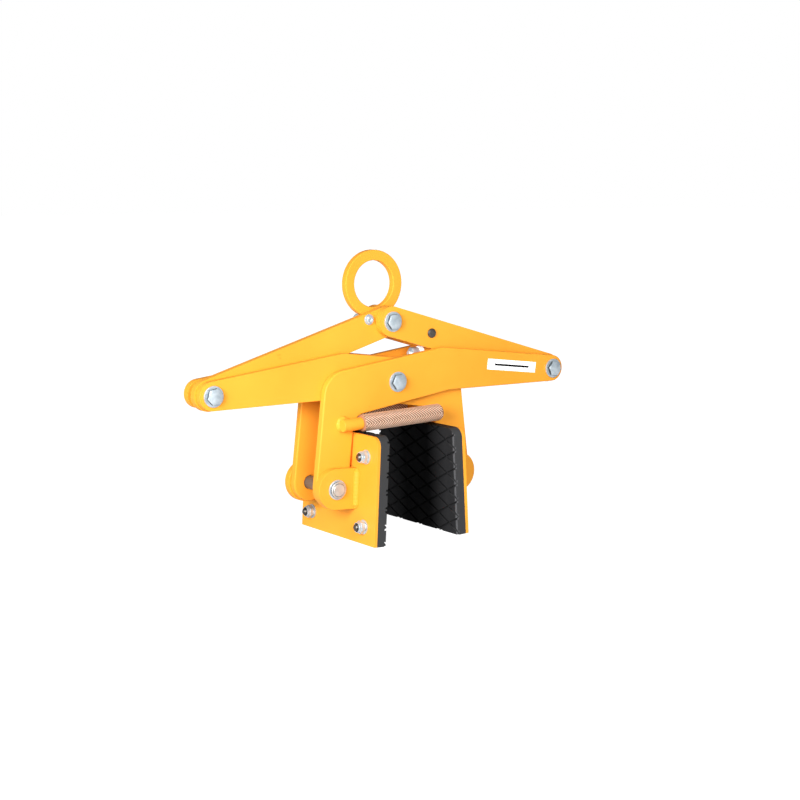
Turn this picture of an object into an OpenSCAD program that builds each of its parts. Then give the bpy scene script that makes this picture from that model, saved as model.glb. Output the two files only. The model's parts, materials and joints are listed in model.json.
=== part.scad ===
// Scissor plate lifting clamp: two crossed arm pairs, two links, a lifting ring and two rubber pads.
// X runs across the jaws, Y along the pads' width, Z up. The origin is on the floor, under the
// centre pivot. The arms, links and ring are flat plates that lie in six layers along Y.

/* [Linkage] */
// Distance from the centre pivot to each end pivot
half_span = 300; // [260:1:340]
// Height of the top pivot above the centre pivot
top_rise = 88; // [80:1:96]
// Distance of each pad pin from the centre pivot, across
pin_out = 115; // [112:1:125]
// Distance of each pad pin below the centre pivot
pin_drop = 147; // [140:1:160]

/* [Plates] */
// Thickness of every arm, link and ring plate
plate_t = 11.5; // [10:0.5:11.5]
// Spacing of the plate layers
pitch = 12; // [12:0.5:14]
// Width of the links
link_w = 45; // [40:1:50]
// End radius of the long arms
arm_end_r = 20.5; // [18:0.5:24]
// End radius of the legs at the pad pins
leg_end_r = 27.5; // [24:0.5:28]

/* [Lifting ring] */
// Outer radius of the ring
ring_r = 50; // [46:0.5:52]
// Radius of the eye
eye_r = 34.5; // [30:0.5:36]
// Distance of the eye's centre from the top pivot
ring_rise = 57.5; // [56:0.5:60]
// Lean of the ring to the left, at rest on its bolt
ring_lean = 16; // [14:0.5:18]

/* [Pads] */
// Width of the pads
pad_w = 197; // [180:1:220]
// Height of the pads
pad_h = 160; // [150:1:160]
// Thickness of the pads' steel plates
pad_steel_t = 5; // [4:0.5:6]
// Thickness of the rubber
rubber_t = 15; // [10:0.5:15]
// Distance from the pad pin to the back of the pad plate
pin_to_back = 34; // [34:0.5:38]
// Outward lean of the pads at rest
pad_tilt = 3; // [1:0.5:4]
// Thickness of the pads' lugs
lug_t = 11.5; // [8:0.5:11.5]
// Radius of the pads' lugs
lug_r = 30; // [28:0.5:32]

/* [Handles] */
// Diameter of the bare handle bar
bar_d = 18; // [15:1:19]
// Diameter of the handle grip
grip_d = 25; // [20:1:25]
// Length of the handle grip
grip_len = 141; // [100:1:145]

/* [Hidden] */
$fn = 96;

// Layers, from the front to the middle, as the distance of each plate's centre from the mid-plane
layer_outer = 2.5*pitch;
layer_inner = 1.5*pitch;
layer_mid = 0.5*pitch;
layer_lug_left = 3.5*pitch;

// Half thicknesses of the stacks at the pivots
stack_outer = layer_outer + plate_t/2;
stack_inner = layer_inner + plate_t/2;
between_inner = layer_inner - plate_t/2 - 0.1;

// Pivots, in the plane of the linkage, with the centre pivot at [0, 0]
left_end = [-half_span, 0];
right_end = [half_span, 0];
top = [0, top_rise];
left_pin_at = [-pin_out, -pin_drop];
link_len = norm([half_span, top_rise]);
link_angle = atan2(top_rise, half_span);

// Pads: the centre of the rubber above the pin, how much lower the steel plate's top is, the stretch
// below the pin, the grip face's distance, and the height of the centre pivot above the floor
pad_centre_up = 1.5;
plate_short = 1.5;
pad_below = pad_h/2 - pad_centre_up;
face_out = pin_to_back + pad_steel_t + rubber_t;
centre_h = pin_drop + face_out*sin(pad_tilt) + pad_below*cos(pad_tilt);

// Arm outline, drawn for the arm whose long end points right
shoulder = [86, 46];
elbow = [-123, 19];
armpit = [-75.8, -44.8];
belly = [96, -19.4];
shoulder_round = 30;
elbow_round = 38;
armpit_round = 20;
belly_round = 40;

// Pivot bolts, washers and pins
bolt_r = 8;
running = 0.06;
pivot_hole_r = bolt_r + running;
open_hole_r = 12.6;
head_af = 21;
head_h = 5;
nut_h = 10;
collar_h = 4;
bolt_tail = 2;
washer_r = 15;
washer_t = 2.7;
side_gap = 0.3;
spacer_r = 14;
pin_r = 10;
pin_head_r = 12;
pin_head_h = 4;
pin_washer_r = 14.5;
pin_washer_t = 2.5;
clip_r = 12.5;
clip_t = 1.2;
pin_tail = 1.5;

// Small M8 fixings
m8_r = 4;
m8_hole_r = 4.2;
m8_af = 13;
m8_head_r = 6.5;
m8_head_h = 3.5;
m8_nut_h = 8;
m8_washer_r = 8;
m8_washer_t = 1.6;
tie_along = 74;
tie_head_r = 7.3;
tie_tube_r = 8;
rest_gap = 0.4;
rest_rise = 4;
pad_stud_y = 70;
pad_stud_z = 51;
pad_stud_up = -2;
pad_corner_r = 15;
stud_head_r = 10;
stud_head_h = 4.5;
stud_tail = 16;
stud_nut_h = 7;
stud_collar_h = 4;
stud_collar_r = 7.6;
groove_w = 3;
groove_deep = 3;
groove_slope = 26;
groove_pitch = 25.3;
groove_cross_up = 0;
groove_rows = 5;

// Stop between the outer arm plates
stop_x = 70;
stop_z = 36;
stop_bar_w = 10;
stop_bar_h = 10;
stop_bar_down = 3.5;
stop_boss_r = 9;
stop_screw_len = 35;
bumper_r = 10;
bumper_len = 8;
m10_r = 5;
m10_hole_r = 5.1;
m10_af = 17;
m10_washer_r = 10.5;
m10_washer_t = 2;
m10_head_h = 6.4;
m10_nut_h = 12;

// Handles
handle_front_y = stack_outer + 11;
handle_rear_y = stack_outer + grip_d/2 + 0.75;
handle_z = -51.8;
handle_tilt = 2;
bar_from = -104;
grip_from = -72;
core_r = 7;
foot_r = 8;

// 2D helpers. Outlines run anticlockwise, and an arc has a point about every arc_step degrees.
arc_step = 5;
function unit(v) = v/norm(v);
function bearing(v) = atan2(v[1], v[0]);
function arc(centre, r, from, sweep) =
    let(n = ceil(abs(sweep)/arc_step))
    [for (i = [0:n]) centre + r*[cos(from + sweep*i/n), sin(from + sweep*i/n)]];

// Rounds the corner b, between a and c, with the radius r. It works on inner corners too.
function round_corner(a, b, c, r) =
    let(half = acos(unit(a - b)*unit(c - b))/2, side = sign(cross(b - a, c - b)))
    arc(b + unit(unit(a - b) + unit(c - b))*r/sin(half), r,
        bearing(b - a) - side*90, side*(180 - 2*half));

// A round end about the centre, touching the lines that come from a and go on to b
function round_end(centre, r, a, b) =
    let(in = bearing(a - centre) + acos(r/norm(a - centre)),
        out = bearing(b - centre) - acos(r/norm(b - centre)))
    arc(centre, r, in, (out - in + 720) % 360);

module arm_outline() {
    polygon(concat(
        round_corner(left_pin_at + [leg_end_r, 0], armpit, belly, armpit_round),
        round_corner(armpit, belly, right_end - [0, arm_end_r], belly_round),
        round_end(right_end, arm_end_r, belly, shoulder),
        round_corner(right_end + [0, arm_end_r], shoulder, elbow, shoulder_round),
        round_corner(shoulder, elbow, left_pin_at - [leg_end_r, 0], elbow_round),
        round_end(left_pin_at, leg_end_r, elbow, armpit)));
}

module link_outline() {
    translate([0, -link_w/2]) square([link_len, link_w]);
    circle(link_w/2);
    translate([link_len, 0]) circle(link_w/2);
}

// 3D helpers. Everything stands at the height of the centre pivot.
module at_height() {
    translate([0, 0, centre_h]) children();
}

// A plate drawn in the plane of the linkage, centred on the layer y
module layer_plate(y, t = plate_t) {
    translate([0, y + t/2, 0]) rotate([90, 0, 0]) linear_extrude(t) children();
}

// A round bar or hex along +Y from y0 to y1, at the pivot p
module bar_y(p, r, y0, y1, sides = 96) {
    translate([p[0], y1, p[1]]) rotate([90, 0, 0]) cylinder(r = r, h = y1 - y0, $fn = sides);
}

module tube_y(p, r, hole_r, y0, y1) {
    difference() {
        bar_y(p, r, y0, y1);
        bar_y(p, hole_r, y0 - 1, y1 + 1);
    }
}

function hex_r(af) = af/2/cos(30);

// Hex-head bolt with its head in front. y is the half thickness of the stack that it clamps.
module pivot_bolt(p, y) {
    seat = y + side_gap + washer_t;
    bar_y(p, bolt_r, -seat, seat + nut_h + collar_h + bolt_tail);
    bar_y(p, hex_r(head_af), -seat - head_h, -seat, 6);
}

module pivot_nut(p, y) {
    seat = y + side_gap + washer_t;
    difference() {
        union() {
            bar_y(p, hex_r(head_af), seat, seat + nut_h, 6);
            bar_y(p, head_af/2 - 0.5, seat + nut_h, seat + nut_h + collar_h);
        }
        bar_y(p, pivot_hole_r, seat - 1, seat + nut_h + collar_h + 1);
    }
}

module pivot_washers(p, y) {
    inner = y + side_gap;
    tube_y(p, washer_r, pivot_hole_r, -inner - washer_t, -inner);
    tube_y(p, washer_r, pivot_hole_r, inner, inner + washer_t);
}

// Centre pivot
module centre_bolt() {
    color("lightsteelblue") at_height() pivot_bolt([0, 0], stack_outer);
}

module centre_nut() {
    color("lightsteelblue") at_height() pivot_nut([0, 0], stack_outer);
}

module centre_washers() {
    color("silver") at_height() pivot_washers([0, 0], stack_outer);
}

module centre_spacer() {
    color("silver") at_height() tube_y([0, 0], spacer_r, pivot_hole_r, -between_inner, between_inner);
}

// Arms. The outer arm's long end points right, and the inner arm is its mirror image.
module arm_plate(y) {
    layer_plate(y) difference() {
        arm_outline();
        circle(pivot_hole_r);
        translate(right_end) circle(pivot_hole_r);
        translate(left_pin_at) circle(pin_r + running);
    }
}

module outer_arm_front() {
    color("gold") at_height() arm_plate(-layer_outer);
}

module outer_arm_rear() {
    color("gold") at_height() arm_plate(layer_outer);
}

module inner_arm_front() {
    color("gold") at_height() mirror([1, 0, 0]) arm_plate(-layer_inner);
}

module inner_arm_rear() {
    color("gold") at_height() mirror([1, 0, 0]) arm_plate(layer_inner);
}

// Handles: a bar on a welded foot, with a grip over its core. The front one is on the outer arm, and
// the rear one is the same turned half a turn about Z, on a longer foot on the inner arm.
// y is the distance of the bar's axis from the mid-plane. Children stand on the axis, with +Z along it.
module at_handle(y, x) {
    translate([0, -y, handle_z]) rotate([0, 90 - handle_tilt, 0]) translate([0, 0, x]) children();
}

// face is the distance of the plate's face from the mid-plane
module handle_bar(y, face) {
    at_handle(y, bar_from) cylinder(d = bar_d, h = grip_from - bar_from);
    at_handle(y, bar_from) cylinder(r = core_r, h = grip_from - bar_from + grip_len - 2);
    at_handle(y, bar_from + foot_r + 0.5) rotate([-90, 0, 0]) cylinder(r = foot_r, h = y - face);
}

module handle_grip(y) {
    at_handle(y, grip_from) difference() {
        translate([0, 0, 0.1]) cylinder(d = grip_d, h = grip_len - 0.1);
        translate([0, 0, -1]) cylinder(r = core_r + 0.1, h = grip_len);
    }
}

module handle_bar_front() {
    color("gold") at_height() handle_bar(handle_front_y, stack_outer);
}

module handle_bar_rear() {
    color("gold") at_height() rotate([0, 0, 180]) handle_bar(handle_rear_y, stack_inner);
}

module handle_grip_front() {
    color("rosybrown") at_height() handle_grip(handle_front_y);
}

module handle_grip_rear() {
    color("rosybrown") at_height() rotate([0, 0, 180]) handle_grip(handle_rear_y);
}

// Opening stop: a bar with a boss, welded between the outer arm plates, and a bumper on a screw along X
module stop_rod(r, x0, x1, sides = 96) {
    translate([x0, 0, stop_z]) rotate([0, 90, 0]) cylinder(r = r, h = x1 - x0, $fn = sides);
}

module stop_bar() {
    wide = 2*(layer_outer - plate_t/2) - 0.2;
    color("gold") at_height() difference() {
        union() {
            translate([stop_x, -wide/2, stop_z - stop_bar_down - stop_bar_h/2])
                cube([stop_bar_w, wide, stop_bar_h]);
            stop_rod(stop_boss_r, stop_x, stop_x + stop_bar_w);
        }
        stop_rod(m10_hole_r, stop_x - 1, stop_x + stop_bar_w + 1);
    }
}

module stop_screw() {
    back = stop_x + stop_bar_w + 0.1;
    color("dimgray") at_height() {
        stop_rod(m10_r, back - stop_screw_len, back);
        stop_rod(hex_r(m10_af), back, back + m10_head_h, 6);
    }
}

module stop_bumper() {
    color("white") at_height() difference() {
        stop_rod(bumper_r, stop_x - bumper_len, stop_x - 0.2);
        stop_rod(m10_hole_r, stop_x - bumper_len - 1, stop_x);
    }
}

module stop_nut() {
    front = stop_x - bumper_len - 0.2;
    color("dimgray") at_height() difference() {
        stop_rod(hex_r(m10_af), front - m10_nut_h, front, 6);
        stop_rod(m10_hole_r, front - m10_nut_h - 1, front + 1);
    }
}

// Right end pivot, carried by the outer arm
module right_bolt() {
    color("lightsteelblue") at_height() pivot_bolt(right_end, stack_outer);
}

module right_nut() {
    color("lightsteelblue") at_height() pivot_nut(right_end, stack_outer);
}

module right_washers() {
    color("silver") at_height() pivot_washers(right_end, stack_outer);
}

module right_spacer() {
    color("silver") at_height() tube_y(right_end, spacer_r, pivot_hole_r, -between_inner, between_inner);
}

// Left end pivot, carried by the inner arm
module left_bolt() {
    color("lightsteelblue") at_height() pivot_bolt(left_end, stack_inner);
}

module left_nut() {
    color("lightsteelblue") at_height() pivot_nut(left_end, stack_inner);
}

module left_washers() {
    color("silver") at_height() pivot_washers(left_end, stack_inner);
}

module left_spacer() {
    color("silver") at_height() tube_y(left_end, spacer_r, pivot_hole_r, 0.1, between_inner);
}

// Links. A link is drawn from its end pivot to the top pivot.
// The rest bolt stands just clear of the leaning ring's rim, a little above the top pivot.
rest_reach = ring_r + m8_r + rest_gap;
eye_at = ring_rise*[-sin(ring_lean), cos(ring_lean)];
rest_at = top + [eye_at[0] - sqrt(rest_reach*rest_reach - pow(eye_at[1] - rest_rise, 2)), rest_rise];
tie_at = top + tie_along*[cos(link_angle), -sin(link_angle)];

module left_link() {
    color("gold") at_height() difference() {
        layer_plate(-layer_mid) translate(left_end) rotate(link_angle) link_outline();
        bar_y(left_end, pivot_hole_r, -pitch - 1, 1);
        bar_y(top, open_hole_r, -pitch - 1, 1);
        bar_y(rest_at, m8_hole_r, -pitch - 1, 1);
    }
}

module right_link_plate(y) {
    difference() {
        layer_plate(y) translate(right_end) mirror([1, 0]) rotate(link_angle) link_outline();
        bar_y(right_end, pivot_hole_r, y - pitch, y + pitch);
        bar_y(top, open_hole_r, y - pitch, y + pitch);
        bar_y(tie_at, m8_hole_r, y - pitch, y + pitch);
    }
}

module right_link_front() {
    color("gold") at_height() right_link_plate(-layer_inner);
}

module right_link_rear() {
    color("gold") at_height() right_link_plate(layer_inner);
}

// Bolt through the left link that the ring leans on
module rest_bolt() {
    color("lightsteelblue") at_height() {
        bar_y(rest_at, m8_r, -pitch - m8_washer_t, pitch + m8_washer_t + m8_nut_h + bolt_tail);
        bar_y(rest_at, m8_head_r, -pitch - m8_washer_t - m8_head_h, -pitch - m8_washer_t);
    }
}

module rest_nut() {
    color("silver") at_height() difference() {
        bar_y(rest_at, hex_r(m8_af), pitch + m8_washer_t, pitch + m8_washer_t + m8_nut_h, 6);
        bar_y(rest_at, m8_hole_r, pitch, pitch + m8_washer_t + m8_nut_h + 3);
    }
}

module rest_washers() {
    color("silver") at_height() {
        tube_y(rest_at, m8_washer_r, m8_hole_r, -pitch - m8_washer_t, -pitch + 0.1);
        tube_y(rest_at, m8_washer_r, m8_hole_r, pitch, pitch + m8_washer_t);
    }
}

// Bolt and tube that tie the right link's two plates together
module tie_bolt() {
    color("dimgray") at_height() {
        bar_y(tie_at, m8_r, -stack_inner, stack_inner + m8_nut_h + bolt_tail);
        bar_y(tie_at, tie_head_r, -stack_inner - m8_head_h, -stack_inner);
    }
}

module tie_nut() {
    color("silver") at_height() difference() {
        bar_y(tie_at, hex_r(m8_af), stack_inner, stack_inner + m8_nut_h, 6);
        bar_y(tie_at, m8_hole_r, stack_inner - 1, stack_inner + m8_nut_h + 1);
    }
}

module tie_tube() {
    color("silver") at_height() tube_y(tie_at, tie_tube_r, m8_hole_r, -between_inner, between_inner);
}

// Top pivot and the lifting ring
module top_bolt() {
    color("lightsteelblue") at_height() pivot_bolt(top, stack_inner);
}

module top_nut() {
    color("lightsteelblue") at_height() pivot_nut(top, stack_inner);
}

module top_washers() {
    color("silver") at_height() pivot_washers(top, stack_inner);
}

module lifting_ring() {
    color("gold") at_height() layer_plate(layer_mid) translate(top) rotate(ring_lean) difference() {
        union() {
            translate([0, ring_rise]) circle(ring_r);
            circle(link_w/2);
        }
        translate([0, ring_rise]) circle(eye_r);
        circle(pivot_hole_r);
    }
}

// Pads, drawn for the left jaw with the pad pin at the origin and the rubber towards +X
module left_pad_place() {
    at_height() translate([left_pin_at[0], 0, left_pin_at[1]]) rotate([0, pad_tilt, 0]) children();
}

module right_pad_place() {
    mirror([1, 0, 0]) left_pad_place() children();
}

// A slab with round top corners. short takes that much off its top. The children are cut out of it.
module pad_slab(x, t, short = 0) {
    high = pad_h - short;
    translate([x, 0, pad_centre_up - short/2]) rotate([90, 0, 90]) linear_extrude(t) difference() {
        union() {
            translate([-pad_w/2, -high/2]) square([pad_w, high - pad_corner_r]);
            translate([-pad_w/2 + pad_corner_r, -high/2]) square([pad_w - 2*pad_corner_r, high]);
            for (s = [-1, 1]) translate([s*(pad_w/2 - pad_corner_r), high/2 - pad_corner_r]) circle(pad_corner_r);
        }
        translate([0, short/2 - pad_centre_up]) children();
    }
}

module pad_stud_spots() {
    for (y = [-1, 1], z = [-1, 1])
        translate([y*pad_stud_y, pad_stud_up + z*pad_stud_z]) children();
}

// Places its children at the four pad studs, with +Z turned to +X
module at_pad_studs(x) {
    for (y = [-1, 1], z = [-1, 1])
        translate([x, y*pad_stud_y, pad_stud_up + z*pad_stud_z]) rotate([0, 90, 0]) children();
}

module pad_plate() {
    pad_slab(pin_to_back, pad_steel_t, plate_short) pad_stud_spots() circle(m10_hole_r);
}

// The rubber has two crossing sets of sloping grooves, and pockets at its back for the studs' heads
module pad_rubber() {
    x = pin_to_back + pad_steel_t;
    difference() {
        pad_slab(x, rubber_t);
        at_pad_studs(x - 1) cylinder(r = stud_head_r + 0.2, h = stud_head_h + 1.2);
        for (s = [-1, 1], row = [-groove_rows:groove_rows])
            translate([x + rubber_t, 0, groove_cross_up + row*groove_pitch]) rotate([s*groove_slope, 0, 0])
                cube([2*groove_deep, 2*pad_w, groove_w], center = true);
    }
}

module pad_studs() {
    back = pin_to_back + pad_steel_t;
    at_pad_studs(pin_to_back - stud_tail) cylinder(r = m10_r, h = stud_tail + pad_steel_t);
    at_pad_studs(back) cylinder(r = stud_head_r, h = stud_head_h);
}

module pad_nuts() {
    seat = pin_to_back - m10_washer_t;
    at_pad_studs(seat - stud_nut_h - stud_collar_h) difference() {
        union() {
            cylinder(r = stud_collar_r, h = stud_collar_h + 1);
            translate([0, 0, stud_collar_h]) cylinder(r = hex_r(m10_af), h = stud_nut_h, $fn = 6);
        }
        translate([0, 0, -1]) cylinder(r = m10_hole_r, h = stud_collar_h + stud_nut_h + 2);
    }
}

module pad_washers() {
    at_pad_studs(pin_to_back - m10_washer_t) difference() {
        cylinder(r = m10_washer_r, h = m10_washer_t);
        translate([0, 0, -1]) cylinder(r = m10_hole_r, h = m10_washer_t + 2);
    }
}

module lug(y) {
    layer_plate(y, lug_t) difference() {
        union() {
            circle(lug_r);
            translate([0, -lug_r]) square([pin_to_back, 2*lug_r]);
        }
        circle(pin_r + 0.1);
    }
}

// The pin, with a head and a washer at one end and a clip at the other. y is the outer face of
// the lugs. They are drawn with the head in front, and turn_pin puts it behind.
module pad_pin(y) {
    head = y + side_gap + pin_washer_t;
    bar_y([0, 0], pin_r, -head, y + side_gap + clip_t + pin_tail);
    bar_y([0, 0], pin_head_r, -head - pin_head_h, -head);
}

module pin_washer(y) {
    tube_y([0, 0], pin_washer_r, pin_r + 0.1, -y - side_gap - pin_washer_t, -y - side_gap);
}

module pin_clip(y) {
    tube_y([0, 0], clip_r, pin_r + 0.05, y + side_gap, y + side_gap + clip_t);
}

module turn_pin() {
    mirror([0, 1, 0]) children();
}

lug_face_left = layer_lug_left + lug_t/2;
lug_face_right = layer_outer + lug_t/2;

module left_pad_plate() {
    color("gold") left_pad_place() pad_plate();
}

module left_lug_front() {
    color("gold") left_pad_place() lug(-layer_lug_left);
}

module left_lug_rear() {
    color("gold") left_pad_place() lug(layer_lug_left);
}

module left_pad_rubber() {
    color("black") left_pad_place() pad_rubber();
}

module left_pad_studs() {
    color("dimgray") left_pad_place() pad_studs();
}

module left_pad_nuts() {
    color("white") left_pad_place() pad_nuts();
}

module left_pad_washers() {
    color("silver") left_pad_place() pad_washers();
}

module left_pin() {
    color("silver") left_pad_place() pad_pin(lug_face_left);
}

module left_pin_washer() {
    color("silver") left_pad_place() pin_washer(lug_face_left);
}

module left_pin_clip() {
    color("dimgray") left_pad_place() pin_clip(lug_face_left);
}

module right_pad_plate() {
    color("gold") right_pad_place() pad_plate();
}

module right_lug_front() {
    color("gold") right_pad_place() lug(-layer_outer);
}

module right_lug_rear() {
    color("gold") right_pad_place() lug(layer_outer);
}

module right_pad_rubber() {
    color("black") right_pad_place() pad_rubber();
}

module right_pad_studs() {
    color("dimgray") right_pad_place() pad_studs();
}

module right_pad_nuts() {
    color("white") right_pad_place() pad_nuts();
}

module right_pad_washers() {
    color("silver") right_pad_place() pad_washers();
}

module right_pin() {
    color("silver") right_pad_place() turn_pin() pad_pin(lug_face_right);
}

module right_pin_washer() {
    color("silver") right_pad_place() turn_pin() pin_washer(lug_face_right);
}

module right_pin_clip() {
    color("dimgray") right_pad_place() turn_pin() pin_clip(lug_face_right);
}

centre_bolt();
centre_nut();
centre_washers();
centre_spacer();
outer_arm_front();
outer_arm_rear();
handle_bar_front();
handle_bar_rear();
handle_grip_front();
handle_grip_rear();
stop_bar();
stop_screw();
stop_bumper();
stop_nut();
right_bolt();
right_nut();
right_washers();
right_spacer();
inner_arm_front();
inner_arm_rear();
left_bolt();
left_nut();
left_washers();
left_spacer();
left_link();
rest_bolt();
rest_nut();
rest_washers();
right_link_front();
right_link_rear();
tie_bolt();
tie_nut();
tie_tube();
top_bolt();
top_nut();
top_washers();
lifting_ring();
left_pad_plate();
left_lug_front();
left_lug_rear();
left_pad_rubber();
left_pad_studs();
left_pad_nuts();
left_pad_washers();
left_pin();
left_pin_washer();
left_pin_clip();
right_pad_plate();
right_lug_front();
right_lug_rear();
right_pad_rubber();
right_pad_studs();
right_pad_nuts();
right_pad_washers();
right_pin();
right_pin_washer();
right_pin_clip();
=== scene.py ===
"""Looks of the plate lifting clamp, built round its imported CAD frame. Lengths are in metres."""
import json
import math

import bmesh
import bpy
from mathutils import Matrix, Vector


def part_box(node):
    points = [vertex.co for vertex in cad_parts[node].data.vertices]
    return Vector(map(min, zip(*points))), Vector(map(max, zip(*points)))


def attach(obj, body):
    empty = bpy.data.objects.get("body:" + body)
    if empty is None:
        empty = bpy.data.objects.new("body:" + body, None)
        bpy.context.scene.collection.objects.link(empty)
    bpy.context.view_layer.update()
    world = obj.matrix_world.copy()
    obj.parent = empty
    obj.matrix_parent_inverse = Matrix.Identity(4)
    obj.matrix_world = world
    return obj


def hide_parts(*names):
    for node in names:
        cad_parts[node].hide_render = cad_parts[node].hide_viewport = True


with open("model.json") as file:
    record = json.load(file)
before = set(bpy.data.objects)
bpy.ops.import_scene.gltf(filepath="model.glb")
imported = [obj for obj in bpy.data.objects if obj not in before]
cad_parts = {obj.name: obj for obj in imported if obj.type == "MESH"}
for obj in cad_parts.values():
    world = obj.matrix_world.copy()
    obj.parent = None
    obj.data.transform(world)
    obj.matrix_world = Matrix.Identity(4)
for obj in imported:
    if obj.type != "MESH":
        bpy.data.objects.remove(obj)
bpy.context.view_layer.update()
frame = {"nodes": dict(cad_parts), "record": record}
nodes = frame["nodes"]
joints = {joint["name"]: joint for joint in frame["record"]["behaviour"]["joints"]}
MM = 0.001

# ---------------------------------------------------------------- places, all from the frame
centre = Vector(joints["inner_arm_swing"]["pos_m"])
left_end = Vector(joints["left_link_swing"]["pos_m"])
right_end = Vector(joints["right_link_swing"]["pos_m"])
top = Vector(joints["ring_swing"]["pos_m"])
pins = {side: Vector(joints[side + "_pad_swing"]["pos_m"]) for side in ("left", "right")}
face_axis = {mount["name"]: Vector(mount["axis"]) for mount in frame["record"]["mounts"]}
pad_tilt = math.atan2(-face_axis["left_grip_face"].z, face_axis["left_grip_face"].x)
pad_edges = [corner[1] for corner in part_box("left_pad_rubber")]
pad_half = (pad_edges[1] - pad_edges[0]) / 2

# ---------------------------------------------------------------- camera and light
VIEW_YAW = 35.1
VIEW_PITCH = 7.65
VIEW_ROLL = -0.18
VIEW_DISTANCE = 2.3466
VIEW_LENS = 70.07
VIEW_ASIDE = 0.0299
VIEW_BELOW = 0.0335

BLACK = (0, 0, 0)
WHITE = (1, 1, 1)
ROOM = (0.20, 0.215, 0.24, 1)
BEHIND = (0.15, 0.16, 0.17, 1)
BEHIND_STARTS = 0.60
BEHIND_FULL = 0.80
PAPER = (0.35, 0.35, 0.35, 1)
FLOOR_BOUNCE = 0.35
GLOW_NEAR = 0.95
GLOW_FAR = 1.0
GLOW_STARTS = 0.3
GLOW_ENDS = 1.6


def add_camera():
    """A long lens, looking across the front from the left end."""
    data = bpy.data.cameras.new("view")
    data.lens = VIEW_LENS
    data.clip_end = 50
    camera = bpy.data.objects.new("view", data)
    bpy.context.collection.objects.link(camera)
    yaw, pitch = math.radians(VIEW_YAW), math.radians(VIEW_PITCH)
    ahead = Vector((math.sin(yaw) * math.cos(pitch), math.cos(yaw) * math.cos(pitch), -math.sin(pitch)))
    camera.location = centre + Vector((VIEW_ASIDE, 0, -VIEW_BELOW)) - ahead * VIEW_DISTANCE
    level = ahead.to_track_quat("-Z", "Y")
    camera.rotation_mode = "QUATERNION"
    camera.rotation_quaternion = level @ Matrix.Rotation(math.radians(VIEW_ROLL), 3, "Z").to_quaternion()
    bpy.context.scene.camera = camera


def add_light(name, place, size, power):
    """A soft round light that looks at the clamp's centre pivot. size is in metres and power in watts."""
    data = bpy.data.lights.new(name, "AREA")
    data.shape = "DISK"
    data.size = size
    data.energy = power
    lamp = bpy.data.objects.new(name, data)
    bpy.context.collection.objects.link(lamp)
    lamp.location = place
    lamp.rotation_mode = "QUATERNION"
    lamp.rotation_quaternion = (centre - lamp.location).to_track_quat("-Z", "Y")


def add_surroundings():
    """A dim room, darker straight behind the clamp. The camera itself sees plain white."""
    world = bpy.data.worlds.new("studio")
    world.use_nodes = True
    tree = world.node_tree
    coords = tree.nodes.new("ShaderNodeTexCoord")
    along = tree.nodes.new("ShaderNodeVectorMath")
    along.operation = "DOT_PRODUCT"
    yaw = math.radians(VIEW_YAW)
    along.inputs[1].default_value = (math.sin(yaw), math.cos(yaw), 0)
    fade = tree.nodes.new("ShaderNodeValToRGB")
    fade.color_ramp.elements[0].position = BEHIND_STARTS
    fade.color_ramp.elements[0].color = ROOM
    fade.color_ramp.elements[1].position = BEHIND_FULL
    fade.color_ramp.elements[1].color = BEHIND
    tree.links.new(coords.outputs["Generated"], along.inputs[0])
    tree.links.new(along.outputs["Value"], fade.inputs["Fac"])
    seen = tree.nodes.new("ShaderNodeLightPath")
    straight = mix(tree, seen.outputs["Is Camera Ray"], fade.outputs["Color"], WHITE)
    tree.links.new(straight, tree.nodes["Background"].inputs["Color"])
    tree.nodes["Background"].inputs["Strength"].default_value = 1.0
    bpy.context.scene.world = world


def add_floor():
    """A plain white floor, whose glow grows with distance until it runs into the white behind.

    FLOOR_BOUNCE is the share of that glow that lights the clamp. The camera sees all of it.
    """
    bpy.ops.mesh.primitive_plane_add(size=60, location=(0, 0, 0))
    floor = bpy.context.object
    floor.name = "floor"
    paper, tree, shader = new_material("floor_paper")
    shader.inputs["Base Color"].default_value = PAPER
    shader.inputs["Roughness"].default_value = 0.9
    shader.inputs["Specular IOR Level"].default_value = 0.0
    shader.inputs["Emission Color"].default_value = (*WHITE, 1)
    coords = tree.nodes.new("ShaderNodeTexCoord")
    away = tree.nodes.new("ShaderNodeVectorMath")
    away.operation = "LENGTH"
    glow = tree.nodes.new("ShaderNodeMapRange")
    glow.inputs["From Min"].default_value = GLOW_STARTS
    glow.inputs["From Max"].default_value = GLOW_ENDS
    glow.inputs["To Min"].default_value = GLOW_NEAR
    glow.inputs["To Max"].default_value = GLOW_FAR
    tree.links.new(coords.outputs["Object"], away.inputs[0])
    tree.links.new(away.outputs["Value"], glow.inputs["Value"])
    seen = tree.nodes.new("ShaderNodeLightPath")
    share = remap(tree, seen.outputs["Is Camera Ray"], FLOOR_BOUNCE, 1.0)
    shown = maths(tree, "MULTIPLY", share, glow.outputs["Result"])
    tree.links.new(shown, shader.inputs["Emission Strength"])
    floor.data.materials.append(paper)


def add_studio():
    """White floor and backdrop, dim surroundings and two soft lights from the left front."""
    bpy.context.scene.view_settings.view_transform = "Standard"
    add_surroundings()
    add_light("key", place=(-1.8, -1.05, 0.75), size=1.0, power=58)
    add_light("front", place=(-0.7, -2.3, 1.0), size=1.2, power=35)
    add_floor()


# ---------------------------------------------------------------- materials
def new_material(name):
    """A material with its node tree and its shader."""
    material = bpy.data.materials.new(name)
    material.use_nodes = True
    tree = material.node_tree
    return material, tree, tree.nodes["Principled BSDF"]


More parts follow.
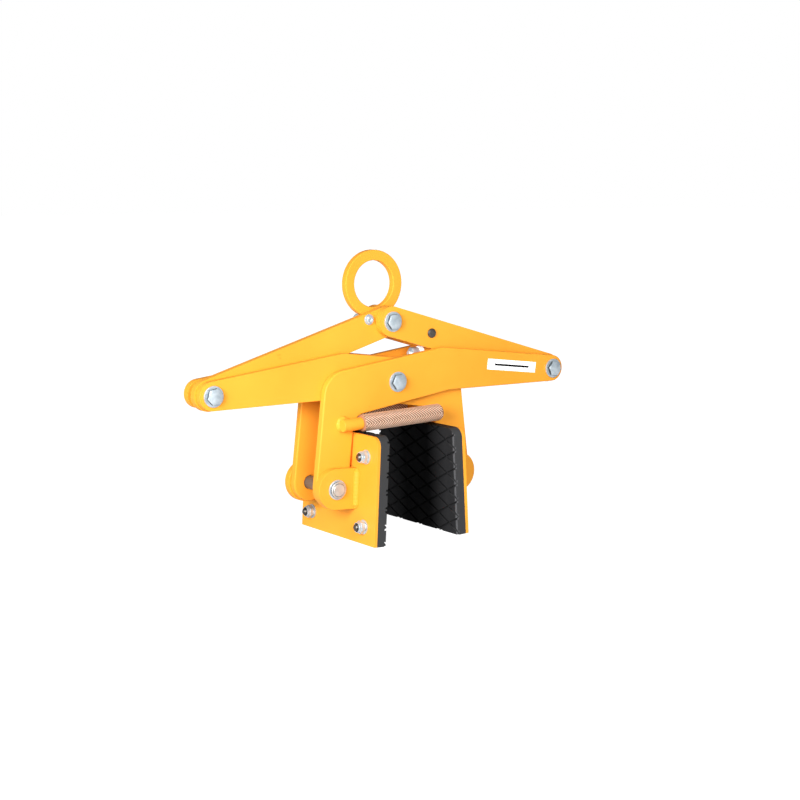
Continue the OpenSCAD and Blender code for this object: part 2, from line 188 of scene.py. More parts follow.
def noise(tree, scale, detail=2.0, stretch=(1, 1, 1)):
    """Noise over the object's own coordinates. scale is in cycles per metre."""
    coords = tree.nodes.new("ShaderNodeTexCoord")
    mapping = tree.nodes.new("ShaderNodeMapping")
    mapping.inputs["Scale"].default_value = stretch
    texture = tree.nodes.new("ShaderNodeTexNoise")
    texture.inputs["Scale"].default_value = scale
    texture.inputs["Detail"].default_value = detail
    tree.links.new(coords.outputs["Object"], mapping.inputs["Vector"])
    tree.links.new(mapping.outputs["Vector"], texture.inputs["Vector"])
    return texture.outputs["Fac"]


def ramp(tree, source, low, high, start=0.35, end=0.65):
    """Colour ramp from low to high between two values of the source."""
    node = tree.nodes.new("ShaderNodeValToRGB")
    node.color_ramp.elements[0].position = start
    node.color_ramp.elements[1].position = end
    node.color_ramp.elements[0].color = (*low, 1)
    node.color_ramp.elements[1].color = (*high, 1)
    tree.links.new(source, node.inputs["Fac"])
    return node.outputs["Color"]


def remap(tree, source, low, high):
    """The source, from 0 to 1, spread over low to high."""
    node = tree.nodes.new("ShaderNodeMapRange")
    node.inputs["To Min"].default_value = low
    node.inputs["To Max"].default_value = high
    tree.links.new(source, node.inputs["Value"])
    return node.outputs["Result"]


def mix(tree, amount, under, over):
    """Two colours mixed by the amount, which is a socket. Each colour is a socket or three numbers."""
    node = tree.nodes.new("ShaderNodeMix")
    node.data_type = "RGBA"
    tree.links.new(amount, node.inputs["Factor"])
    for socket, colour in ((node.inputs[6], under), (node.inputs[7], over)):
        if isinstance(colour, tuple):
            socket.default_value = (*colour, 1)
        else:
            tree.links.new(colour, socket)
    return node.outputs[2]


def maths(tree, operation, first, second=None):
    """The result of a math node. first is a socket, and second is a socket, a number or left out."""
    node = tree.nodes.new("ShaderNodeMath")
    node.operation = operation
    tree.links.new(first, node.inputs[0])
    if isinstance(second, (int, float)):
        node.inputs[1].default_value = second
    elif second is not None:
        tree.links.new(second, node.inputs[1])
    return node.outputs["Value"]


def size_along(tree, vector, axis):
    """The size, without its sign, of a vector socket along the axis named."""
    parts = tree.nodes.new("ShaderNodeSeparateXYZ")
    tree.links.new(vector, parts.inputs["Vector"])
    return maths(tree, "ABSOLUTE", parts.outputs[axis])


def facing_along(tree, axis):
    """1 where the surface faces along the axis named, and 0 where it faces across it."""
    surface = tree.nodes.new("ShaderNodeNewGeometry")
    return ramp(tree, size_along(tree, surface.outputs["True Normal"], axis), BLACK, WHITE, 0.3, 0.8)


def from_middle(tree):
    """0 half way along the pads' width, and 1 at either edge."""
    coords = tree.nodes.new("ShaderNodeTexCoord")
    return maths(tree, "DIVIDE", size_along(tree, coords.outputs["Object"], "Y"), pad_half)


def bump(tree, shader, source, strength, distance):
    """Adds a bump of the given depth in metres to the shader."""
    node = tree.nodes.new("ShaderNodeBump")
    node.inputs["Strength"].default_value = strength
    node.inputs["Distance"].default_value = distance
    tree.links.new(source, node.inputs["Height"])
    tree.links.new(node.outputs["Normal"], shader.inputs["Normal"])


def make_paint():
    """Glossy yellow-orange powder coat: faint orange peel, a slow drift of shade and small scuffed marks."""
    material, tree, shader = new_material("powder_coat")
    shade = ramp(tree, noise(tree, 7, 3), (0.90, 0.355, 0.030), (0.97, 0.405, 0.038))
    marks = ramp(tree, noise(tree, 45, 6, (1, 1, 2.5)), BLACK, WHITE, 0.70, 0.78)
    worn = mix(tree, marks, shade, (0.80, 0.30, 0.025))
    tree.links.new(worn, shader.inputs["Base Color"])
    tree.links.new(remap(tree, noise(tree, 60, 3), 0.38, 0.52), shader.inputs["Roughness"])
    shader.inputs["Specular IOR Level"].default_value = 0.14
    shader.inputs["Coat Weight"].default_value = 0.06
    shader.inputs["Coat Roughness"].default_value = 0.14
    bump(tree, shader, noise(tree, 700, 2), 0.22, 0.0004)
    return material


def make_metal(name, low, high, rough, metallic=1.0, grain=260, sides=1.0):
    """Bare or plated metal: mottled colour, uneven roughness and a fine grain.

    sides below 1 darkens the surfaces that do not face along Y round a bolt's head or a pin: painted shade
    and painted dark reflection.
    """
    material, tree, shader = new_material(name)
    shader.inputs["Metallic"].default_value = metallic
    colour = ramp(tree, noise(tree, 130, 3), low, high)
    # Painted shade: surfaces that do not face along Y get a darker copy of the colour, standing in for shade
    # and dark reflections.
    if sides < 1:
        painted_dark_sides = tuple(sides * part for part in low)
        colour = mix(tree, facing_along(tree, "Y"), painted_dark_sides, colour)
    tree.links.new(colour, shader.inputs["Base Color"])
    tree.links.new(remap(tree, noise(tree, grain), *rough), shader.inputs["Roughness"])
    bump(tree, shader, noise(tree, grain * 4), 0.3, 0.0001)
    return material


def make_rubber():
    """Matte black rubber with a fine moulded grain and dusty patches.

    It is painted paler towards the pads' edges and darker in the middle, as painted light and painted shade
    in the jaw.
    Faces along X end in a pale rim, a painted highlight, and the others get painted light from a little
    further in.
    """
    material, tree, shader = new_material("pad_rubber")
    clean = ramp(tree, noise(tree, 25, 4), (0.0002, 0.0002, 0.0003), (0.0007, 0.0007, 0.0008))
    # Painted light and shade: paler towards the pads' edges, where light reaches into the jaw, and black in
    # the middle, where shade falls.
    painted_edge_light = ramp(tree, from_middle(tree), BLACK, WHITE, 0.30, 0.75)
    # Painted highlight: a pale rim at the edge of the faces along X.
    rim = ramp(tree, from_middle(tree), BLACK, WHITE, 0.95, 0.965)
    # Painted light on the faces across X, from a little further in.
    outer = ramp(tree, from_middle(tree), BLACK, WHITE, 0.84, 0.88)
    face = facing_along(tree, "X")
    edge = remap(tree, face, 1.0, 0.0)
    painted_light_and_shade = mix(tree, painted_edge_light, clean, (0.020, 0.020, 0.021))
    painted_light_and_shade = mix(tree, maths(tree, "MULTIPLY", rim, face), painted_light_and_shade, (0.10, 0.10, 0.105))
    painted_light_and_shade = mix(tree, maths(tree, "MULTIPLY", outer, edge), painted_light_and_shade, (0.048, 0.048, 0.049))
    dust = ramp(tree, noise(tree, 60, 6), BLACK, WHITE, 0.68, 0.90)
    tree.links.new(mix(tree, dust, painted_light_and_shade, (0.030, 0.029, 0.028)), shader.inputs["Base Color"])
    tree.links.new(remap(tree, noise(tree, 80, 3), 0.5, 0.75), shader.inputs["Roughness"])
    shader.inputs["Specular IOR Level"].default_value = 0.04
    bump(tree, shader, noise(tree, 1500, 3), 0.35, 0.0003)
    return material


def make_nylon():
    """White moulded plastic with a faint sheen. Its emission is painted light, a glow that keeps it white in
    the shade.
    """
    material, tree, shader = new_material("white_nylon")
    shade = ramp(tree, noise(tree, 40, 2), (0.84, 0.84, 0.83), (0.93, 0.93, 0.92))
    tree.links.new(shade, shader.inputs["Base Color"])
    tree.links.new(remap(tree, noise(tree, 90, 2), 0.35, 0.5), shader.inputs["Roughness"])
    # Painted light: the emission keeps the plastic, and the blank label that wears it, white in shade.
    shader.inputs["Emission Color"].default_value = (*WHITE, 1)
    shader.inputs["Emission Strength"].default_value = 0.5
    bump(tree, shader, noise(tree, 700, 2), 0.15, 0.0002)
    return material


def make_grip():
    """Copper-toned knurl: bright ridges and grooves painted darker brown as painted shade, which the mesh's
    cut value marks.
    """
    material, tree, shader = new_material("copper_knurl")
    cut = tree.nodes.new("ShaderNodeAttribute")
    cut.attribute_name = "cut"
    ridge = ramp(tree, noise(tree, 130, 3), (0.90, 0.62, 0.44), (0.98, 0.72, 0.54))
    # Painted shade: the grooves, and partly the rims, take the dark brown below.
    raised = ramp(tree, cut.outputs["Fac"], WHITE, BLACK, 0.10, 0.45)
    tree.links.new(mix(tree, raised, (0.24, 0.085, 0.04), ridge), shader.inputs["Base Color"])
    tree.links.new(remap(tree, noise(tree, 260, 2), 0.34, 0.48), shader.inputs["Roughness"])
    shader.inputs["Metallic"].default_value = 0.45
    bump(tree, shader, noise(tree, 1040, 2), 0.3, 0.0001)
    return material


MATERIALS = {
    "paint": make_paint(),
    "zinc": make_metal("zinc_plate", (0.46, 0.54, 0.60), (0.64, 0.72, 0.78), (0.26, 0.38), metallic=0.55),
    # sides darkens the side faces of bolt heads and pins, as painted shade.
    "zinc_bolt": make_metal("zinc_bolt", (0.50, 0.58, 0.63), (0.68, 0.76, 0.81), (0.26, 0.38),
                            metallic=0.55, sides=0.16),
    "plain_steel": make_metal("turned_steel", (0.55, 0.54, 0.51), (0.66, 0.64, 0.60), (0.36, 0.50),
                              metallic=0.6, grain=300, sides=0.35),
    "dark_steel": make_metal("dark_steel", (0.12, 0.11, 0.10), (0.22, 0.20, 0.18), (0.36, 0.48)),
    "grip": make_grip(),
    "rubber": make_rubber(),
    "nylon": make_nylon(),
}


# ---------------------------------------------------------------- mesh helpers
SIDES = 48
HEX_SIDES = 72
SHARP = 32
ARC_STEPS = 8
HEX_FACE = 0.95
CONE = math.radians(30)
THREAD_ROOT = 0.87
WELD_WITHIN = 0.02 * MM
FLAT_WITHIN = math.radians(0.5)
BEVEL_FROM = math.radians(35)


def add_piece(name, bm, slot, body, *stands_for, look=None):
    """Turns a bmesh into a piece that rides on the body and stands for the CAD nodes named.

    look is the material it wears where that is not its slot's own.
    """
    bmesh.ops.recalc_face_normals(bm, faces=bm.faces)
    mesh = bpy.data.meshes.new(name)
    bm.to_mesh(mesh)
    bm.free()
    piece = bpy.data.objects.new(name, mesh)
    bpy.context.collection.objects.link(piece)
    mesh.materials.append(MATERIALS[look or slot])
    mesh.shade_smooth()
    mesh.set_sharp_from_angle(angle=math.radians(SHARP))
    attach(piece, body)
    if stands_for:
        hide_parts(*stands_for)
    return piece


def skin(bm, rings):
    """Joins closed rings of points, all of one length, into a tube with closed ends."""
    rings = [[bm.verts.new(point) for point in ring] for ring in rings]
    count = len(rings[0])
    for low, high in zip(rings, rings[1:]):
        for i in range(count):
            bm.faces.new((low[i], low[(i + 1) % count], high[(i + 1) % count], high[i]))
    bm.faces.new(rings[0])
    bm.faces.new(rings[-1])


def turns_of(count):
    """Equal turns that go once round, in radians."""
    return [2 * math.pi * i / count for i in range(count)]


def polar(radius, turn, along, place):
    """A point at a radius and a turn, in radians, about the axis that place sends +Z to."""
    return place @ Vector((radius * math.cos(turn), radius * math.sin(turn), along))


def circle(radius, along, place, sides=SIDES):
    """A ring of points about the axis that place sends +Z to."""
    return [polar(radius, turn, along, place) for turn in turns_of(sides)]


def lathe(bm, profile, place, sides=SIDES):
    """Turns a profile of (along, radius) points about the axis that place sends +Z to."""
    skin(bm, [circle(radius, along, place, sides) for along, radius in profile])


def hex_radius(across, turn):
    """Distance from a hexagon's centre to its edge in the direction turn, in degrees."""
    return across / 2 / math.cos(math.radians((turn % 60) - 30))


def hex_ring(across, along, cut, place):
    """A ring round a hexagon.

    cut is 1 where a cone has turned the corners off upwards, -1 where downwards, and 0 for neither.
    """
    points = []
    for i in range(HEX_SIDES):
        turn = i * 360 / HEX_SIDES
        radius = hex_radius(across, turn)
        height = along - cut * (radius - across / 2 * HEX_FACE) * math.tan(CONE)
        points.append(polar(radius, math.radians(turn), height, place))
    return points


def hexagon(bm, across, low, high, place, both=False):
    """A hexagon with turned corners at its high end, and at its low end too if both."""
    face = across / 2 * HEX_FACE
    rings = [hex_ring(across, low, 0, place)]
    if both:
        rings = [circle(face, low, place, HEX_SIDES), hex_ring(across, low, -1, place)]
    rings += [hex_ring(across, high, 1, place), circle(face, high, place, HEX_SIDES)]
    skin(bm, rings)


def thread(start, end, radius, pitch):
    """Profile of a thread's ridges from start to end, with a turned-off tip at the end."""
    step = 1 if end > start else -1
    points = []
    for i in range(int(abs(end - start) / pitch) - 1):
        at = start + step * pitch * i
        points += [(at + step * pitch * 0.05, radius * THREAD_ROOT), (at + step * pitch * 0.40, radius),
                   (at + step * pitch * 0.60, radius), (at + step * pitch * 0.95, radius * THREAD_ROOT)]
    return points + [(end - step * pitch * 0.7, radius * 0.95), (end, radius * 0.74)]


def facing(place, axis):
    """A 4x4 that moves the origin to place and turns +Z to the axis."""
    return Matrix.Translation(place) @ Vector(axis).to_track_quat("Z", "Y").to_matrix().to_4x4()


def spin(angle):
    """A turn about +Z, in degrees."""
    return Matrix.Rotation(math.radians(angle), 4, "Z")


def pad_place(side):
    """A 4x4 from a pad's own axes, with its pin at the origin and its rubber towards +X, to the frame."""
    left = Matrix.Translation(pins["left"]) @ Matrix.Rotation(pad_tilt, 4, "Y")
    return left if side == "left" else Matrix.Scale(-1, 4, Vector((1, 0, 0))) @ left


def round_edges(node, width, segments=3):
    """Softens a CAD node's edges: Weld and Decimate clean its flats, and Bevel rounds what is sharp."""
    obj = nodes[node]
    weld = obj.modifiers.new("weld", "WELD")
    weld.merge_threshold = WELD_WITHIN
    flats = obj.modifiers.new("flats", "DECIMATE")
    flats.decimate_type = "DISSOLVE"
    flats.angle_limit = FLAT_WITHIN
    bevel = obj.modifiers.new("edges", "BEVEL")
    bevel.width = width
    bevel.segments = segments
    bevel.limit_method = "ANGLE"
    bevel.angle_limit = BEVEL_FROM
    bevel.use_clamp_overlap = True
    normals = obj.modifiers.new("normals", "WEIGHTED_NORMAL")
    normals.keep_sharp = True


# ---------------------------------------------------------------- CAD nodes
def dress_nodes():
    """Gives every CAD node its slot's material."""
    for part in frame["record"]["subparts"]:
        obj = nodes[part["node"]]
        obj.data.materials.clear()
        obj.data.materials.append(MATERIALS[part["material_slot"]])


def soften_nodes():
    """Rounds the edges of the CAD nodes that stay in sight."""
    for plate in ("outer_arm_front", "outer_arm_rear", "inner_arm_front", "inner_arm_rear",
                  "left_link", "right_link_front", "right_link_rear"):
        round_edges(plate, 2.0 * MM)
    round_edges("lifting_ring", 3.6 * MM, 4)
    for end in ("front", "rear"):
        round_edges("handle_bar_" + end, 1.6 * MM)
    for side in pins:
        round_edges(side + "_pad_plate", 1.2 * MM)
        round_edges(side + "_lug_front", 1.6 * MM)
        round_edges(side + "_lug_rear", 1.6 * MM)
        round_edges(side + "_pad_rubber", 0.8 * MM, 2)
        round_edges(side + "_pin_washer", 0.6 * MM, 2)
        round_edges(side + "_pin_clip", 0.3 * MM, 2)
        round_edges(side + "_pad_washers", 0.3 * MM, 2)
    for pivot in ("centre", "left", "right", "top", "rest"):
        round_edges(pivot + "_washers", 0.5 * MM, 2)
    for pivot in ("centre", "left", "right"):
        round_edges(pivot + "_spacer", 0.5 * MM, 2)
    round_edges("tie_tube", 0.5 * MM, 2)
    round_edges("stop_bar", 1.0 * MM)
    round_edges("stop_bumper", 1.2 * MM)


# ---------------------------------------------------------------- bolts, nuts and studs
HEX_WIDE = 21 * MM
M8_HEX = 13 * MM
M10_HEX = 17 * MM
M8_RADIUS = 4 * MM
M10_RADIUS = 5 * MM
M16_RADIUS = 8 * MM
M8_PITCH = 1.25 * MM
M10_PITCH = 1.5 * MM
M16_PITCH = 2 * MM
FRONTWARD = (0, -1, 0)
REARWARD = (0, 1, 0)
RIGHTWARD = (1, 0, 0)


def node_reach(node):
    """Lowest and highest corner of a CAD node, as vectors."""
    low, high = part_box(node)
    return Vector(low), Vector(high)


def on_axis(at, way):
    """A 4x4 that turns +Z frontward or rearward, with its origin on the line through at along Y."""
    return facing(Vector((at.x, 0, at.z)), way)


def pivot_bolt(name, at, body, turn):
    """Pivot bolt with a chamfered hex head in front and a rolled thread behind."""
    low, high = node_reach(name + "_bolt")
    seat = node_reach(name + "_washers")[0].y
    bm = bmesh.new()
    hexagon(bm, HEX_WIDE, -seat, -low.y, on_axis(at, FRONTWARD) @ spin(turn))
    nut_from = -seat - 1 * MM
    shank = [(seat, M16_RADIUS), (nut_from, M16_RADIUS)]
    lathe(bm, shank + thread(nut_from, high.y, M16_RADIUS, M16_PITCH), on_axis(at, REARWARD))
    add_piece(name + "_bolt_shape", bm, "zinc", body, name + "_bolt", look="zinc_bolt")


def pin_shape(side):
    """Pad pin: a head with a turned step round its face, and a shank with a turned-off end."""
    low, high = node_reach(side + "_pin")
    face = -low.y
    head, shank = 12 * MM, 10 * MM
    under = face - 4 * MM
    profile = [(-high.y, shank - 1 * MM), (1 * MM - high.y, shank), (under, shank), (under, head)]
    profile += [(face - 1.8 * MM, head), (face - 0.9 * MM, head - 1.2 * MM)]
    profile += [(face - 1.0 * MM, head - 2.0 * MM), (face - 1.6 * MM, head - 2.3 * MM)]
    profile += [(face - 0.4 * MM, head - 2.9 * MM), (face, head - 3.4 * MM)]
    bm = bmesh.new()
    lathe(bm, profile, on_axis(pins[side], FRONTWARD), HEX_SIDES)
    add_piece(side + "_pin_shape", bm, "plain_steel", side + "_pad", side + "_pin")


def lock_nut(name, at, body, across, turn):
    """Lock nut: a hexagon turned at both ends, under a rounded collar. It sits at the rear."""
    low, high = node_reach(name)
    place = on_axis(at, REARWARD) @ spin(turn)
    bm = bmesh.new()
    collar = (high.y - low.y) * 0.28
    hexagon(bm, across, low.y, high.y - collar, place, both=True)
    wide = across / 2 * 0.93
    lathe(bm, [(high.y - collar, wide), (high.y - collar * 0.35, wide), (high.y - collar * 0.1, wide * 0.93),
               (high.y, wide * 0.82), (high.y, wide * 0.70)], place)
    add_piece(name + "_shape", bm, "zinc", body, name)


def low_head_bolt(name, at, body, slot, head_radius, socket):
    """Small bolt with a low domed head in front. socket is the width of its hex socket, or 0."""
    low, high = node_reach(name)
    head_tall = 3.5 * MM
    socket_deep = 2.4 * MM
    thread_tall = 12 * MM
    bm = bmesh.new()
    front = on_axis(at, FRONTWARD)
    seat = -low.y - head_tall
    profile = [(seat, head_radius * 0.96), (seat + head_tall * 0.45, head_radius),
               (seat + head_tall * 0.75, head_radius * 0.93), (seat + head_tall * 0.95, head_radius * 0.72)]
    rings = [circle(radius, along, front, HEX_SIDES) for along, radius in profile]
    if socket:
        rings.append(circle(socket * 0.62, -low.y, front, HEX_SIDES))
        rings.append(hex_ring(socket, -low.y - 0.2 * MM, 0, front))
        rings.append(hex_ring(socket, -low.y - socket_deep, 0, front))
    else:
        rings.append(circle(head_radius * 0.35, -low.y, front, HEX_SIDES))
    skin(bm, rings)
    threaded = high.y - thread_tall
    shank = [(-seat, M8_RADIUS), (threaded, M8_RADIUS)]
    lathe(bm, shank + thread(threaded, high.y, M8_RADIUS, M8_PITCH), on_axis(at, REARWARD))
    add_piece(name + "_shape", bm, slot, body, name)


STUD_ASIDE = 70 * MM
STUD_APART = 51 * MM
STUD_DROP = 2 * MM


def pad_fixings(side):
    """Studs and lock nuts on the back of a pad plate. Each nut stands at its own angle.

    Places along a stud are counted from the pad's pin, and the rubber lies towards minus.
    """
    stud, nut, insert = bmesh.new(), bmesh.new(), bmesh.new()
    head, seat, back, tail = -43.5 * MM, -39 * MM, -34 * MM, -18 * MM
    hex_from, hex_to, collar_to = -32 * MM, -25 * MM, -21 * MM
    disc, collar = 10 * MM, 7.6 * MM
    hole = collar * 0.82
    backward = Matrix.Rotation(math.radians(-90), 4, "Y")
    spots = [(y * STUD_ASIDE, z * STUD_APART - STUD_DROP) for y in (-1, 1) for z in (-1, 1)]
    for index, (y, z) in enumerate(spots):
        place = pad_place(side) @ Matrix.Translation((0, y, z)) @ backward
        shank = [(head, disc - 0.4 * MM), (head + 0.6 * MM, disc), (seat, disc), (seat, M10_RADIUS),
                 (back, M10_RADIUS)]
        lathe(stud, shank + thread(back, tail, M10_RADIUS, M10_PITCH), place)
        hexagon(nut, M10_HEX, hex_from, hex_to, place @ spin(17 + 23 * index), both=True)
        lathe(nut, [(hex_to, collar), (collar_to - 1 * MM, collar), (collar_to - 0.3 * MM, collar * 0.95),
                    (collar_to, collar * 0.86), (collar_to - 0.4 * MM, collar * 0.83)], place)
        lathe(insert, [(hex_to, hole), (collar_to - 0.4 * MM, hole), (collar_to - 0.2 * MM, collar * 0.77),
                       (collar_to - 0.2 * MM, M10_RADIUS)], place)
    add_piece(side + "_stud_shape", stud, "dark_steel", side + "_pad", side + "_pad_studs")
    add_piece(side + "_nut_shape", nut, "zinc", side + "_pad", side + "_pad_nuts")
    add_piece(side + "_nut_inserts", insert, "rubber", side + "_pad")


def stop_fixings():
    """Screw and nut of the opening stop, along X."""
    low, high = node_reach("stop_screw")
    place = facing(Vector((0, 0, (low.z + high.z) / 2)), RIGHTWARD)
    under = high.x - 6.4 * MM
    threaded = low.x + 24 * MM
    bm = bmesh.new()
    hexagon(bm, M10_HEX, under, high.x, place)
    shank = [(under, M10_RADIUS), (threaded, M10_RADIUS)]
    lathe(bm, shank + thread(threaded, low.x, M10_RADIUS, M10_PITCH), place)
    add_piece("stop_screw_shape", bm, "zinc", "outer_arm", "stop_screw")
    low, high = node_reach("stop_nut")
    bm = bmesh.new()
    hexagon(bm, M10_HEX, low.x, high.x, place @ spin(8), both=True)
    add_piece("stop_nut_shape", bm, "zinc", "outer_arm", "stop_nut")


# ---------------------------------------------------------------- knurled grips
HANDLE_TILT = math.radians(2)
KNURL_DEEP = 0.8 * MM
# Painted shade on the grip's rims, given as a cut value.
RIM_SHADE = 0.35
KNURL_STARTS = 17
KNURL_PITCH = 4.6 * MM
KNURL_SIDES = 176
KNURL_ROWS = 350
GROOVE_HALF = 0.34


def knurl_cut(turn, along):
    """How far the knurl is cut at a place, from 0 to 1. Two families of V grooves cross.

    The family that leans one way is deep on the upper half, and the other on the lower half.
    """
    share = 0.5 + 0.5 * max(-1.0, min(1.0, 8 * math.sin(turn)))
    cuts = []
    for hand, weight in ((-1, share), (1, 1 - share)):
        phase = (turn * KNURL_STARTS / (2 * math.pi) + hand * along / KNURL_PITCH) % 1.0
        cuts.append((0.1 + 0.9 * weight) * max(0.0, 1 - abs(phase - 0.5) / GROOVE_HALF))
    return max(cuts)


# The rear handle is the front one turned half a turn about Z, so its bare end points the other way.
HANDLE_WAY = {"front": 1, "rear": -1}
HANDLE_BODY = {"front": "outer_arm", "rear": "inner_arm"}


def grip(end):
    """Handle grip with a herringbone knurl between two smooth rims.

    The mesh keeps how far each point is cut, which the material reads to paint shade into the grooves. Rims
    keep RIM_SHADE instead, which paints them part way to that shade.
    """
    low, high = node_reach("handle_grip_" + end)
    radius = (high.y - low.y) / 2
    place = facing((low + high) / 2, (HANDLE_WAY[end] * math.cos(HANDLE_TILT), 0, math.sin(HANDLE_TILT)))
    half = (high.x - low.x - 2 * radius * math.sin(HANDLE_TILT)) / 2 / math.cos(HANDLE_TILT)
    rim = 2.4 * MM
    turns = turns_of(KNURL_SIDES)
    points = [circle(radius * 0.76, -half, place, KNURL_SIDES),
              circle(radius * 0.95, -half + rim * 0.5, place, KNURL_SIDES)]
    shades = [RIM_SHADE] * (2 * KNURL_SIDES)
    for row in range(KNURL_ROWS + 1):
        along = -half + rim + 2 * (half - rim) * row / KNURL_ROWS
        cuts = [knurl_cut(turn, along) for turn in turns]
        points.append([polar(radius - KNURL_DEEP * cut, turn, along, place)
                       for turn, cut in zip(turns, cuts)])
        shades += cuts
    points += [circle(radius * 0.95, half - rim * 0.5, place, KNURL_SIDES),
               circle(radius * 0.88, half, place, KNURL_SIDES),
               circle(radius * 0.45, half, place, KNURL_SIDES)]
    shades += [RIM_SHADE] * (3 * KNURL_SIDES)
    bm = bmesh.new()
    skin(bm, points)
    piece = add_piece("grip_knurl_" + end, bm, "grip", HANDLE_BODY[end], "handle_grip_" + end)
    marks = piece.data.attributes.new("cut", "FLOAT", "POINT")
    marks.data.foreach_set("value", shades)


# ---------------------------------------------------------------- welds and label
BEAD_STEP = 1.2 * MM
BEAD_SINK = 0.3 * MM
LUG_BEAD = 6.5 * MM
FOOT_BEAD = 4.2 * MM
STOP_BEAD = 3.0 * MM


def quarter_turns():
    """Equal turns from 0 to a quarter, in radians."""
    return [math.pi / 2 * step / ARC_STEPS for step in range(ARC_STEPS + 1)]


def bead(bm, start, end, out_a, out_b, leg, ripples):
    """A painted fillet weld from start to end, in the corner between the directions out_a and out_b."""
    start, end = Vector(start), Vector(end)
    out_a, out_b = Vector(out_a).normalized(), Vector(out_b).normalized()
    length = (end - start).length
    steps = max(8, int(length / BEAD_STEP))
    rings = []
    for i in range(steps + 1):
        part = i / steps
        swell = 1 + 0.03 * math.cos(2 * math.pi * part * ripples) + 0.04 * math.sin(5 * part + ripples)
        taper = min(1.0, 0.45 + 6 * min(part, 1 - part))
        size = leg * swell * taper
        at = start.lerp(end, part)
        ring = [at - (out_a + out_b) * BEAD_SINK]
        for angle in quarter_turns():
            bulge = 1.2 * size * (0.80 + 0.12 * math.sin(2 * angle))
            ring.append(at + out_a * bulge * math.cos(angle) ** 1.3 + out_b * bulge * math.sin(angle) ** 1.3)
        rings.append(ring)
    skin(bm, rings)


def lug_welds(side):
    """Vertical beads where the lugs meet the pad plate. The right pad's lugs have outer ones only."""
    bm = bmesh.new()
    place = pad_place(side)
    away = place.to_3x3() @ Vector((-1, 0, 0))
    plate_back, weld_half = 34 * MM, 29 * MM
    for end in ("front", "rear"):
        low, high = node_reach(side + "_lug_" + end)
        for y, out in ((low.y, -1), (high.y, 1)):
            if side == "right" and (out < 0) == (end == "rear"):
                continue
            foot = place @ Vector((plate_back, y, -weld_half))
            head = place @ Vector((plate_back, y, weld_half))
            bead(bm, foot, head, away, (0, out, 0), LUG_BEAD, 11)
    add_piece(side + "_lug_welds", bm, "paint", side + "_pad")


def foot_weld(end):
    """A round bead where a handle's foot meets its arm plate."""
    bar_low, bar_high = node_reach("handle_bar_" + end)
    grip_low, grip_high = node_reach("handle_grip_" + end)
    middle = (grip_low + grip_high) / 2
    way = HANDLE_WAY[end]
    foot, inset = 8 * MM, 0.5 * MM
    from_end = foot + inset
    x = bar_low.x + from_end if way > 0 else bar_high.x - from_end
    z = middle.z + way * (x - middle.x) * math.tan(HANDLE_TILT)
    y = node_reach(HANDLE_BODY[end] + "_" + end)[0 if way > 0 else 1].y
    place = facing((x, y, z), (0, -way, 0))
    bm = bmesh.new()
    rings = []
    for turn in turns_of(SIDES):
        size = FOOT_BEAD * (1 + 0.05 * math.sin(9 * turn) + 0.04 * math.sin(4 * turn))
        ring = [polar(foot + size * math.cos(angle) ** 1.3, turn, size * math.sin(angle) ** 1.3, place)
                for angle in quarter_turns()]
        ring.append(polar(foot - inset, turn, -BEAD_SINK, place))
        rings.append([bm.verts.new(point) for point in ring])
    for i, ring in enumerate(rings):
        after = rings[(i + 1) % SIDES]
        for k in range(len(ring)):
            following = (k + 1) % len(ring)
            bm.faces.new((ring[k], ring[following], after[following], after[k]))
    add_piece("handle_weld_" + end, bm, "paint", HANDLE_BODY[end])


# The stop bar itself starts a little above the foot of its round boss.
STOP_BAR_UP = 0.5 * MM
STOP_BAR_HIGH = 10 * MM


def stop_welds():
    """Beads above and below the stop bar's ends."""
    bm = bmesh.new()
    low, high = node_reach("stop_bar")
    first, last = low.x + 0.5 * MM, high.x - 0.5 * MM
    under = low.z + STOP_BAR_UP
    for y, out in ((low.y, 1), (high.y, -1)):
        for z, way in ((under, -1), (under + STOP_BAR_HIGH, 1)):
            bead(bm, (first, y, z), (last, y, z), (0, out, 0), (0, 0, way), STOP_BEAD, 3)
    add_piece("stop_welds", bm, "paint", "outer_arm")


LABEL_RIGHT = 217 * MM
LABEL_UP = 9.3 * MM
LABEL_TILT = math.radians(7)


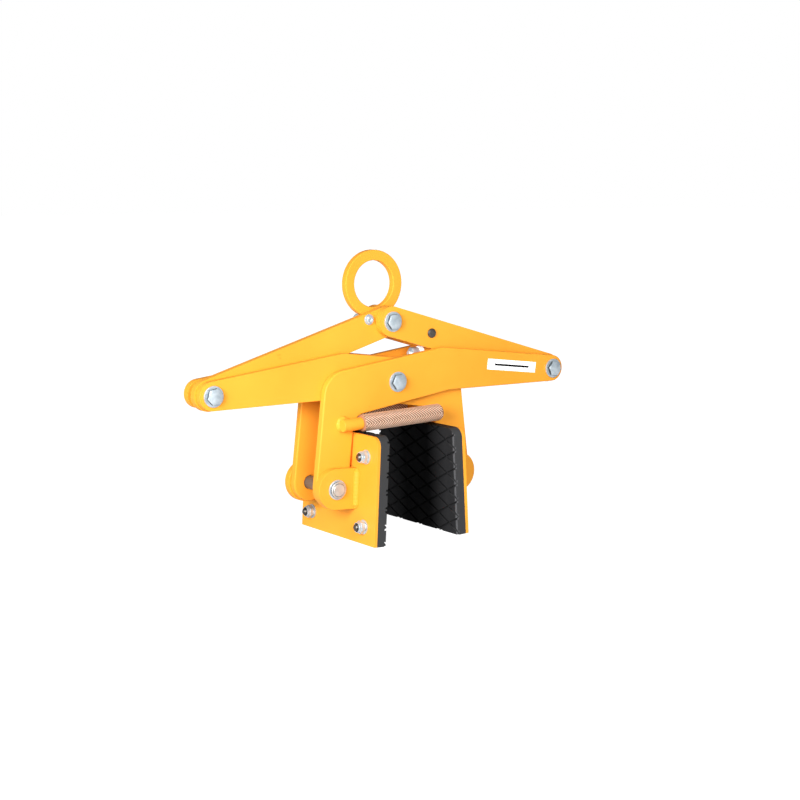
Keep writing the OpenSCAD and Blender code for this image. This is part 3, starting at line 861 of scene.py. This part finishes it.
def card(name, slot, place, wide, high, back, front):
    """A thin plate on the outer arm's front face. back and front are where it starts and ends along Y."""
    bm = bmesh.new()
    corners = [(-wide / 2, -high / 2), (wide / 2, -high / 2), (wide / 2, high / 2), (-wide / 2, high / 2)]
    skin(bm, [[place @ Vector((x, y, z)) for x, z in corners] for y in (back, front)])
    add_piece(name, bm, slot, "outer_arm")


def label():
    """A blank white label with one dark stripe, near the outer arm's right end."""
    face = node_reach("outer_arm_front")[0].y
    middle = Vector((centre.x + LABEL_RIGHT, face, centre.z + LABEL_UP))
    place = Matrix.Translation(middle) @ Matrix.Rotation(LABEL_TILT, 4, "Y")
    card("blank_label", "nylon", place, 96 * MM, 16.4 * MM, 0.2 * MM, -0.25 * MM)
    card("label_stripe", "rubber", place, 68 * MM, 3.2 * MM, -0.2 * MM, -0.3 * MM)


# ---------------------------------------------------------------- the whole clamp
# Each pivot's place, its body, and how far its bolt and its nut are turned, in degrees.
PIVOTS = {
    "centre": (centre, "centre", 4, 9),
    "left": (left_end, "inner_arm", 12, 22),
    "right": (right_end, "outer_arm", -8, -14),
    "top": (top, "top_pivot", 6, 5),
}

dress_nodes()
soften_nodes()
for pivot, (spot, owner, bolt_turn, nut_turn) in PIVOTS.items():
    pivot_bolt(pivot, spot, owner, bolt_turn)
for pivot, (spot, owner, bolt_turn, nut_turn) in PIVOTS.items():
    lock_nut(pivot + "_nut", spot, owner, HEX_WIDE, nut_turn)
rest = sum(node_reach("rest_bolt"), Vector()) / 2
tie = sum(node_reach("tie_bolt"), Vector()) / 2
low_head_bolt("rest_bolt", rest, "left_link", "zinc", 6.5 * MM, 5 * MM)
low_head_bolt("tie_bolt", tie, "right_link", "dark_steel", 7.3 * MM, 0)
lock_nut("rest_nut", rest, "left_link", M8_HEX, 3)
lock_nut("tie_nut", tie, "right_link", M8_HEX, 18)
stop_fixings()
for which in pins:
    pad_fixings(which)
    pin_shape(which)
    lug_welds(which)
for which in ("front", "rear"):
    grip(which)
    foot_weld(which)
stop_welds()
label()

add_camera()
add_studio()
